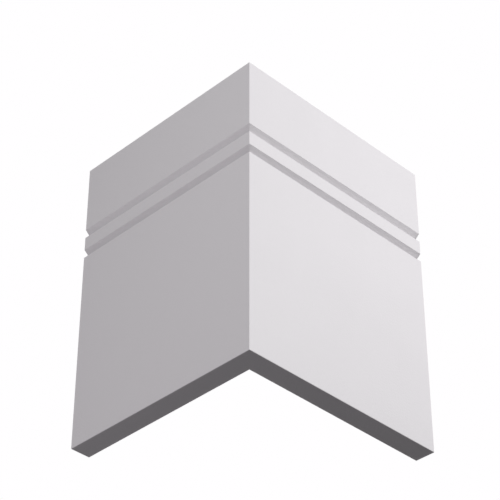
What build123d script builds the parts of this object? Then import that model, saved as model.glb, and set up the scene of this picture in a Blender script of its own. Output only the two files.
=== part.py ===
from build123d import *
import os

# An outside corner of painted fibreboard skirting: two lengths of one moulding, mitred and
# butted at the corner, with two V-grooves run along the face near the top.
# Millimetres, +Z up. The origin is the wall's outside corner at floor level, where the backs
# of the two boards meet. The right board runs along +X and the left board along +Y.

# The moulding
board_height = 220
board_thickness = 14.5
eased_edge_radius = 0.4

# The lengths as they are cut, along the front face from the tip of the mitre
right_face_length = 160.4
left_face_length = 154.4

# The grooves, placed by the middle of each one below the top edge
upper_groove_drop = 54.5
groove_pitch = 16.6
upper_groove_mouth = 6.6
upper_groove_depth = 3.4
lower_groove_mouth = 6.4
lower_groove_depth = 3.8

lower_groove_drop = upper_groove_drop + groove_pitch

# Both mitres lie on the upright plane that halves the corner
mitre_plane = Plane(origin=(0, 0, 0), z_dir=(1, -1, 0))


def v_groove(drop, mouth, depth):
    """The triangle that a V-cutter takes out of the section's front face."""
    middle = board_height - drop
    upper_lip = (-board_thickness, middle + mouth / 2)
    bottom = (-board_thickness + depth, middle)
    lower_lip = (-board_thickness, middle - mouth / 2)
    return make_face(Polyline(upper_lip, bottom, lower_lip, close=True))


def moulding_section():
    """The section of the board: back edge on X = 0, front face towards -X, foot on Y = 0."""
    section = Rectangle(board_thickness, board_height, align=(Align.MAX, Align.MIN))
    front_corners = section.vertices().group_by(Axis.X)[0]
    section = fillet(front_corners, eased_edge_radius)
    section -= v_groove(upper_groove_drop, upper_groove_mouth, upper_groove_depth)
    section -= v_groove(lower_groove_drop, lower_groove_mouth, lower_groove_depth)
    return section


def mitred_board(face_length):
    """A length of the moulding along +X, square at its far end and mitred at the corner."""
    corner_end = Plane.YZ.offset(-board_thickness)
    blank = extrude(corner_end * moulding_section(), amount=face_length)
    return split(blank, bisect_by=mitre_plane, keep=Keep.TOP)


right_board = mitred_board(right_face_length)
left_board = mirror(mitred_board(left_face_length), about=mitre_plane)

os.makedirs("parts", exist_ok=True)
export_step(right_board, "parts/right_board.step")
export_step(left_board, "parts/left_board.step")
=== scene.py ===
# The looks of an outside corner of skirting: white satin paint on the two mitred boards, in a
# plain pale studio, seen from below.
import math

import bmesh
import bpy
from bpy.props import FloatProperty, FloatVectorProperty, PointerProperty
from bpy.types import Operator, Panel, PropertyGroup
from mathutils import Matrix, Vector


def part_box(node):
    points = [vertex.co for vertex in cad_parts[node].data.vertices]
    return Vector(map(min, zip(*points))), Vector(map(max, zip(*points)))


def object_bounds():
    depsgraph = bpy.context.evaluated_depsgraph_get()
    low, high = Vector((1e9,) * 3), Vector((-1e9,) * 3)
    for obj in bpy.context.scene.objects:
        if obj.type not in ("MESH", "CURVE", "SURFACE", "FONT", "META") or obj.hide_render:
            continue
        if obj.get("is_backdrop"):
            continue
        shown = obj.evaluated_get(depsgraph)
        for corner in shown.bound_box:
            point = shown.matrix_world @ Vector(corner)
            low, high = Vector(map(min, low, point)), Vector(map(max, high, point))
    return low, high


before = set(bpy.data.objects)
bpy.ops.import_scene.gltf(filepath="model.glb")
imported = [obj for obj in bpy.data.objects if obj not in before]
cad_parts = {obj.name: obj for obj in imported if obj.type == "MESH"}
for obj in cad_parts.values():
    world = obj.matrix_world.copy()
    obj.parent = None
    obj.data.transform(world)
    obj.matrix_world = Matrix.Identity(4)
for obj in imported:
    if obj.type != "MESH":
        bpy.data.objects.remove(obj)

bl_info = {
    "name": "Painted skirting corner",
    "version": (1, 0, 0),
    "blender": (4, 5, 0),
    "location": "3D View > Sidebar > Skirting",
    "description": "Paints a mitred corner of skirting board and sets a plain studio round it",
    "category": "Object",
}

MILLIMETRE = 0.001

# The axis that each board runs along: 0 is X and 1 is Y. Its thickness is on the other one
BOARDS = {"right_board": 0, "left_board": 1}

# The radius of the long edges of a board's face. Only the grooves go deeper behind the face, and
# a point half as deep again is wholly in one
EASED_EDGE = 0.4 * MILLIMETRE
WHOLLY_IN_GROOVE = 1.5 * EASED_EDGE

# How near a point is to the plane of a board's end, back, top or foot when it begins to count as
# on it, and when it wholly does
NEAR_PLANE = 0.06 * MILLIMETRE
ON_PLANE = NEAR_PLANE / 3

# How much further along its patterns the left board starts, so that the two boards differ
PATTERN_STEP = 700 * MILLIMETRE

# How many finer layers lie over a pattern's first one: on lumps, on lines, on fibres or clouds
LUMPY = 1.0
LINED = 2.0
FIBROUS = 3.0

# How far the floor lies under the boards' feet, and how many sides its rim has
FLOOR_GAP = 0.5 * MILLIMETRE
FLOOR_SIDES = 96

# The width of the camera's sensor, in millimetres
SENSOR_WIDTH = 36.0


class Value:
    """A number that changes over a surface. A sum written with it adds Math nodes."""

    def __init__(self, shader, socket):
        self.shader = shader
        self.socket = socket

    def __add__(self, other):
        return self.shader.maths("ADD", self, other)

    __radd__ = __add__

    def __sub__(self, other):
        return self.shader.maths("SUBTRACT", self, other)

    def __rsub__(self, other):
        return self.shader.maths("SUBTRACT", other, self)

    def __mul__(self, other):
        return self.shader.maths("MULTIPLY", self, other)

    __rmul__ = __mul__


class Shader:
    """The nodes of one finish, of the floor or of the surround."""

    def __init__(self, tree):
        self.tree = tree
        self.tree.nodes.clear()

    def node(self, kind, settings=None, sockets=None):
        """Adds a node of that kind, with its settings first and then its sockets."""
        added = self.tree.nodes.new(kind)
        for name, setting in (settings or {}).items():
            setattr(added, name, setting)
        for name, given in (sockets or {}).items():
            if isinstance(given, Value):
                given = given.socket
            if isinstance(given, bpy.types.NodeSocket):
                self.tree.links.new(given, added.inputs[name])
            else:
                added.inputs[name].default_value = given
        return added

    def maths(self, operation, first, second):
        added = self.node("ShaderNodeMath", {"operation": operation}, {0: first, 1: second})
        return Value(self, added.outputs[0])

    def larger(self, first, second):
        return self.maths("MAXIMUM", first, second)

    def ramp(self, value, start, end):
        """0 where the value is at or before start, 1 at or past end, and smooth between."""
        sockets = {"Value": value, "From Min": start, "From Max": end}
        added = self.node("ShaderNodeMapRange", {"interpolation_type": "SMOOTHSTEP"}, sockets)
        return Value(self, added.outputs["Result"])

    def scaled(self, point, sizes):
        """The point, with each axis counted in steps of its size."""
        steps = tuple(1.0 / size for size in sizes)
        added = self.node("ShaderNodeVectorMath", {"operation": "MULTIPLY"}, {0: point, 1: steps})
        return added.outputs[0]

    def noise(self, point, sizes, detail):
        """Soft noise from -0.5 to 0.5, with lumps about as large as the three sizes."""
        sockets = {"Vector": self.scaled(point, sizes), "Scale": 1.0, "Detail": detail}
        added = self.node("ShaderNodeTexNoise", sockets=sockets)
        return Value(self, added.outputs[0]) - 0.5

    def specks(self, point, spacing, radius):
        """1 in the middle of a few round specks, and 0 between them."""
        sockets = {"Vector": self.scaled(point, (spacing,) * 3), "Scale": 1.0}
        added = self.node("ShaderNodeTexVoronoi", sockets=sockets)
        return self.ramp(added.outputs["Distance"], radius / spacing, 0.0)


def blend(first, second, share):
    """The first where the share is 0 and the second where it is 1."""
    return first + (second - first) * share


def length(name, description, millimetres):
    """A length that a user can change."""
    return FloatProperty(
        name=name, description=description, unit="LENGTH", default=millimetres * MILLIMETRE
    )


def share(name, description, amount):
    """A share or a roughness, from 0 to 1, that a user can change."""
    return FloatProperty(
        name=name, description=description, subtype="FACTOR", min=0.0, max=1.0, default=amount
    )


def colour(name, description, red, green, blue):
    """A colour that a user can change."""
    return FloatVectorProperty(
        name=name, description=description, subtype="COLOR", size=4, default=(red, green, blue, 1.0)
    )


def place(name, description, x, y, z):
    """The place of a lamp, or of the point that the camera looks at."""
    return FloatVectorProperty(
        name=name, description=description, subtype="TRANSLATION", default=(x, y, z)
    )


def power(name, description, watts):
    """The power of a lamp."""
    return FloatProperty(name=name, description=description, unit="POWER", default=watts)


def angle(name, description, degrees):
    """An angle that a user can change."""
    return FloatProperty(
        name=name, description=description, subtype="ANGLE", default=math.radians(degrees)
    )


class PaintSettings(PropertyGroup):
    """The paint, and what shows through it where the board was cut, routed or sanded."""

    colour: colour("Paint colour", "Colour of the paint", 0.815, 0.79, 0.815)
    face_roughness: share(
        "Face roughness",
        "Roughness of the paint on the faces, where a satin paint is about 0.4",
        0.45,
    )
    core_roughness: share(
        "Core roughness", "Roughness where the board's open core has drunk the paint", 0.55
    )
    back_roughness: share("Back roughness", "Roughness of the one thin coat on the back", 0.62)
    # Painted shade: how much the paint's colour is made darker towards the bottom of the grooves.
    # The thinner coat named in its description stands in for that shade
    groove_painted_shade: share(
        "Groove grey", "How much darker the thin coat is at the bottom of the grooves", 0.2
    )
    cloud_size: length(
        "Cloud size", "Width of the patches where the coat is thicker or thinner", 45
    )
    cloud_tone: share(
        "Cloud tone", "How much lighter those patches are, as a share of the colour", 0.03
    )
    cloud_sheen: share("Cloud sheen", "How much rougher those patches are", 0.2)
    peel_size: length("Peel size", "Width of the low lumps that the sprayed coat dries with", 1.3)
    peel_height: length("Peel height", "Height of those lumps", 0.09)
    stroke_width: length("Stroke width", "Width of the faint lines along the board", 0.7)
    stroke_length: length("Stroke length", "Length of those lines", 80)
    stroke_height: length("Stroke height", "Height of those lines", 0.03)
    nib_spacing: length("Nib spacing", "Distance between grains of dust under the coat", 9)
    nib_radius: length("Nib radius", "Radius of the bump over each grain", 0.35)
    nib_height: length("Nib height", "Height of that bump", 0.03)
    fibre_width: length("Fibre width", "Width of the fibres raised in the grooves and ends", 0.4)
    fibre_length: length("Fibre length", "Length of those fibres", 2.5)
    fibre_height: length("Fibre height", "Height of those fibres", 0.025)
    saw_pitch: length("Saw pitch", "Distance between the saw's marks on the square ends", 1.5)
    saw_length: length("Saw length", "Length of those marks across the board", 30)
    saw_height: length("Saw height", "Height of those marks", 0.12)
    sanding_width: length("Sanding width", "Width of the sander's lines on the back", 0.8)
    sanding_length: length("Sanding length", "Length of those lines", 30)
    sanding_height: length("Sanding height", "Height of those lines", 0.07)


class StageSettings(PropertyGroup):
    """The floor, the surround, the lamps and the camera."""

    backdrop: colour("Backdrop", "Colour behind the object", 1.0, 0.991, 1.0)
    surround: FloatProperty(
        name="Surround",
        description="Strength of the even light from all round",
        default=0.02,
    )
    floor_colour: colour("Floor colour", "Colour of the floor", 0.8, 0.79, 0.8)
    floor_glow: share(
        "Floor glow", "How much of the floor's colour is the backdrop's own light", 0.5
    )
    fade_start: length("Fade start", "How far out the floor starts to fade", 210)
    fade_end: length("Fade end", "How far out the floor has faded into the backdrop", 665)
    key_place: place(
        "Key lamp", "Place of the main lamp, in front of the right board", 0.31, -0.832, 0.35
    )
    key_power: power("Key power", "Power of the main lamp", 6.51)
    key_size: length("Key size", "Side of the main lamp", 300)
    fill_place: place(
        "Fill lamp", "Place of the lamp in front of the left board", -0.713, -0.256, 0.254
    )
    fill_power: power("Fill power", "Power of the fill lamp", 2.45)
    fill_size: length("Fill size", "Side of the fill lamp", 250)
    low_place: place(
        "Low lamp", "Place of the lamp that lights the underside", -0.85, 0.5, -0.578
    )
    low_power: power("Low power", "Power of the low lamp", 2.26)
    low_size: length("Low size", "Side of the low lamp", 200)
    low_colour: colour("Low colour", "Colour of the low lamp, a little pink", 1.0, 0.95, 1.0)
    back_place: place(
        "Back lamp", "Place of the lamp that lights the backs and the top", 0.8, 1.55, 1.35
    )
    back_power: power("Back power", "Power of the back lamp", 36.0)
    back_size: length("Back size", "Side of the back lamp", 700)
    camera_target: place(
        "Camera target", "Point in the middle of the picture", -0.01423, -0.01477, 0.07027
    )
    camera_distance: length("Camera distance", "From the camera to its target", 1073.25)
    camera_azimuth: angle("Camera azimuth", "0 looks along +Y and 90 along -X", -44.972)
    camera_elevation: angle("Camera elevation", "Less than 0 looks up from below", -36.886)
    camera_lens: FloatProperty(
        name="Camera lens",
        description="Focal length on a sensor 36 mm wide",
        unit="CAMERA",
        default=131.568,
    )


def groove_depth(board, along):
    """How far behind the face the board's deepest groove goes. The back's corners are left out."""
    low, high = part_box(board.name)
    thickness = high[1 - along] - low[1 - along]
    depths = [corner.co[1 - along] - low[1 - along] for corner in board.data.vertices]
    return max(depth for depth in depths if depth < thickness - MILLIMETRE)


def sprayed(shader, point, paint):
    """Height of the top coat: low lumps, faint lines along the board, and grains of dust."""
    lumps = paint.peel_height * shader.noise(point, (paint.peel_size,) * 3, LUMPY)
    sizes = (paint.stroke_length, paint.stroke_width, paint.stroke_width)
    strokes = paint.stroke_height * shader.noise(point, sizes, LINED)
    nibs = paint.nib_height * shader.specks(point, paint.nib_spacing, paint.nib_radius)
    return lumps + strokes + nibs


def routed(shader, point, paint):
    """Height of the fibres that a cutter raises along a groove."""
    sizes = (paint.fibre_length, paint.fibre_width, paint.fibre_width)
    return paint.fibre_height * shader.noise(point, sizes, FIBROUS)


def sawn(shader, point, paint):
    """Height of a square end: fibres that stand up and down it, and the saw's marks across."""
    sizes = (paint.fibre_width, paint.fibre_width, paint.fibre_length)
    fibres = paint.fibre_height * shader.noise(point, sizes, FIBROUS)
    sizes = (paint.saw_pitch, paint.saw_length, paint.saw_pitch)
    return fibres + paint.saw_height * shader.noise(point, sizes, LUMPY)


def sanded(shader, point, paint):
    """Height of the lines that a wide sander leaves along the back."""
    sizes = (paint.sanding_length, paint.sanding_width, paint.sanding_width)
    return paint.sanding_height * shader.noise(point, sizes, LINED)


def board_paint(board, along, paint):
    """The finish of one board, whose length is on the axis numbered along."""
    low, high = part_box(board.name)
    thickness = high[1 - along] - low[1 - along]
    material = bpy.data.materials.new(board.name + "_paint")
    material.use_nodes = True
    shader = Shader(material.node_tree)

    # Where a point is: along the board, behind its front face and above its foot
    held = shader.node("ShaderNodeTexCoord").outputs["Object"]
    split = shader.node("ShaderNodeSeparateXYZ", sockets={"Vector": held}).outputs
    run = Value(shader, split[along])
    depth = Value(shader, split[1 - along]) - low[1 - along]
    height = Value(shader, split[2])
    started = run + along * PATTERN_STEP
    joined = shader.node("ShaderNodeCombineXYZ", sockets={0: started, 1: depth, 2: height})
    point = joined.outputs[0]

    # Which surface it is on. What is on no flat one and deeper than the eased edges is a groove
    on_end = shader.ramp(run, high[along] - NEAR_PLANE, high[along] - ON_PLANE)
    on_back = shader.ramp(depth, thickness - NEAR_PLANE, thickness - ON_PLANE)
    on_top = shader.ramp(height, high.z - NEAR_PLANE, high.z - ON_PLANE)
    on_foot = shader.ramp(height, low.z + NEAR_PLANE, low.z + ON_PLANE)
    on_flat = shader.larger(shader.larger(on_end, on_back), shader.larger(on_top, on_foot))
    in_groove = (1.0 - on_flat) * shader.ramp(depth, EASED_EDGE, WHOLLY_IN_GROOVE)

    relief = sprayed(shader, point, paint) + in_groove * routed(shader, point, paint)
    relief = blend(relief, sanded(shader, point, paint), on_back)
    relief = blend(relief, sawn(shader, point, paint), on_end)
    bump = shader.node(
        "ShaderNodeBump", sockets={"Strength": 1.0, "Distance": 1.0, "Height": relief}
    )

    clouds = shader.noise(point, (paint.cloud_size,) * 3, FIBROUS)
    roughness = blend(paint.face_roughness, paint.core_roughness, in_groove)
    roughness = blend(roughness, paint.back_roughness, on_back)
    roughness = blend(roughness, paint.core_roughness, on_end)
    # Painted shade: the colour is made darker from the lips of the grooves to their bottoms
    groove_shade_share = in_groove * shader.ramp(depth, 0.0, groove_depth(board, along))
    tone = 1.0 + paint.cloud_tone * clouds - paint.groove_painted_shade * groove_shade_share
    toned = shader.node(
        "ShaderNodeVectorMath",
        {"operation": "SCALE"},
        {0: tuple(paint.colour)[:3], "Scale": tone},
    )
    surface = shader.node(
        "ShaderNodeBsdfPrincipled",
        sockets={
            "Base Color": toned.outputs[0],
            "Roughness": roughness + paint.cloud_sheen * clouds,
            "Normal": bump.outputs[0],
        },
    )
    shader.node("ShaderNodeOutputMaterial", sockets={"Surface": surface.outputs[0]})
    return material


class SKIRTING_OT_paint_boards(Operator):
    """Gives both boards their coat of white satin paint"""

    bl_idname = "skirting.paint_boards"
    bl_label = "Paint the boards"

    def execute(self, context):
        missing = [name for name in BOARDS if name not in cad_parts]
        if missing:
            raise RuntimeError("There is no board to paint under " + " or ".join(missing))
        for name, along in BOARDS.items():
            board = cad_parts[name]
            board.data.materials.clear()
            board.data.materials.append(board_paint(board, along, context.scene.skirting_paint))
        return {"FINISHED"}


def looking_rays(shader):
    """1 on the rays that the camera, a mirror or glass looks along, and 0 on those that light."""
    rays = shader.node("ShaderNodeLightPath").outputs
    mirrored = shader.larger(rays["Is Glossy Ray"], rays["Is Transmission Ray"])
    return shader.larger(rays["Is Camera Ray"], mirrored)


def add_floor(stage, level):
    """A pale round floor that shows from above, catches the shadow and fades into the backdrop."""
    mesh = bpy.data.meshes.new("studio_floor")
    disc = bmesh.new()
    bmesh.ops.create_circle(disc, cap_ends=True, radius=stage.fade_end, segments=FLOOR_SIDES)
    disc.to_mesh(mesh)
    disc.free()
    floor = bpy.data.objects.new("studio_floor", mesh)
    floor.location.z = level - FLOOR_GAP
    bpy.context.scene.collection.objects.link(floor)
    floor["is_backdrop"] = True

    material = bpy.data.materials.new("studio_floor")
    material.use_nodes = True
    shader = Shader(material.node_tree)
    spot = shader.node("ShaderNodeTexCoord").outputs["Object"]
    reach = shader.node("ShaderNodeVectorMath", {"operation": "LENGTH"}, {0: spot})
    fade = shader.ramp(reach.outputs["Value"], stage.fade_end, stage.fade_start)
    from_below = Value(shader, shader.node("ShaderNodeNewGeometry").outputs["Backfacing"])
    shown = looking_rays(shader) * (1.0 - from_below) * fade
    matt = shader.node("ShaderNodeBsdfDiffuse", sockets={"Color": stage.floor_colour})
    glow = shader.node("ShaderNodeEmission", sockets={"Color": stage.backdrop, "Strength": 1.0})
    pale = shader.node(
        "ShaderNodeMixShader", sockets={0: stage.floor_glow, 1: matt.outputs[0], 2: glow.outputs[0]}
    )
    clear = shader.node("ShaderNodeBsdfTransparent")
    mixed = shader.node(
        "ShaderNodeMixShader", sockets={0: shown, 1: clear.outputs[0], 2: pale.outputs[0]}
    )
    shader.node("ShaderNodeOutputMaterial", sockets={"Surface": mixed.outputs[0]})
    mesh.materials.append(material)


def add_surround(stage):
    """An even soft light from all round, which the camera and mirrors see as the backdrop."""
    world = bpy.data.worlds.new("studio_surround")
    world.use_nodes = True
    shader = Shader(world.node_tree)
    soft = shader.node(
        "ShaderNodeBackground", sockets={"Color": (1.0, 1.0, 1.0, 1.0), "Strength": stage.surround}
    )
    behind = shader.node(
        "ShaderNodeBackground", sockets={"Color": stage.backdrop, "Strength": 1.0}
    )
    mixed = shader.node(
        "ShaderNodeMixShader",
        sockets={0: looking_rays(shader), 1: soft.outputs[0], 2: behind.outputs[0]},
    )
    shader.node("ShaderNodeOutputWorld", sockets={"Surface": mixed.outputs[0]})
    bpy.context.scene.world = world


def add_lamp(name, position, watts, side, target):
    """Adds a soft square lamp, unseen by the camera, that faces its target, and gives its light."""
    light = bpy.data.lights.new(name, "AREA")
    light.shape = "SQUARE"
    light.size = side
    light.energy = watts
    lamp = bpy.data.objects.new(name, light)
    lamp.location = position
    lamp.rotation_euler = (target - Vector(position)).to_track_quat("-Z", "Y").to_euler()
    lamp.visible_camera = False
    bpy.context.scene.collection.objects.link(lamp)
    return light


def add_camera(stage):
    """The camera, on the line that the azimuth and elevation give from its target."""
    turn = stage.camera_azimuth
    rise = stage.camera_elevation
    away = Vector(
        (math.sin(turn) * math.cos(rise), -math.cos(turn) * math.cos(rise), math.sin(rise))
    )
    lens = bpy.data.cameras.new("studio_camera")
    lens.lens = stage.camera_lens
    lens.sensor_width = SENSOR_WIDTH
    camera = bpy.data.objects.new("studio_camera", lens)
    camera.location = Vector(stage.camera_target) + stage.camera_distance * away
    camera.rotation_euler = (-away).to_track_quat("-Z", "Y").to_euler()
    bpy.context.scene.collection.objects.link(camera)
    bpy.context.scene.camera = camera


class SKIRTING_OT_set_stage(Operator):
    """Adds the floor, the surround, the lamps and the camera"""

    bl_idname = "skirting.set_stage"
    bl_label = "Set the stage"

    def execute(self, context):
        stage = context.scene.skirting_stage
        if stage.fade_end <= stage.fade_start:
            raise RuntimeError("The floor has to end further out than where it starts to fade")
        low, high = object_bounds()
        middle = (low + high) / 2
        add_floor(stage, low.z)
        add_surround(stage)
        add_lamp("key_lamp", stage.key_place, stage.key_power, stage.key_size, middle)
        add_lamp("fill_lamp", stage.fill_place, stage.fill_power, stage.fill_size, middle)
        low_light = add_lamp("low_lamp", stage.low_place, stage.low_power, stage.low_size, middle)
        low_light.color = tuple(stage.low_colour)[:3]
        add_lamp("back_lamp", stage.back_place, stage.back_power, stage.back_size, middle)
        add_camera(stage)
        context.scene.view_settings.view_transform = "Standard"
        return {"FINISHED"}


class SKIRTING_PT_corner(Panel):
    """The steps and the settings of the skirting corner"""

    bl_label = "Skirting corner"
    bl_space_type = "VIEW_3D"
    bl_region_type = "UI"
    bl_category = "Skirting"

    def draw(self, context):
        layout = self.layout
        steps = {
            "skirting.paint_boards": context.scene.skirting_paint,
            "skirting.set_stage": context.scene.skirting_stage,
        }
        for operator, settings in steps.items():
            layout.operator(operator)
            column = layout.column(align=True)
            for name in settings.__annotations__:
                column.prop(settings, name)


CLASSES = (
    PaintSettings,
    StageSettings,
    SKIRTING_OT_paint_boards,
    SKIRTING_OT_set_stage,
    SKIRTING_PT_corner,
)


def register():
    """Adds the steps, the panel and the settings to the scene."""
    for one in CLASSES:
        bpy.utils.register_class(one)
    bpy.types.Scene.skirting_paint = PointerProperty(type=PaintSettings)
    bpy.types.Scene.skirting_stage = PointerProperty(type=StageSettings)


def unregister():
    """Takes them away again."""
    del bpy.types.Scene.skirting_stage
    del bpy.types.Scene.skirting_paint
    for one in reversed(CLASSES):
        bpy.utils.unregister_class(one)


def main():
    """Paints the boards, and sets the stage."""
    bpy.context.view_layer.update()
    register()
    bpy.ops.skirting.paint_boards()
    bpy.ops.skirting.set_stage()


if __name__ == "__main__":
    main()
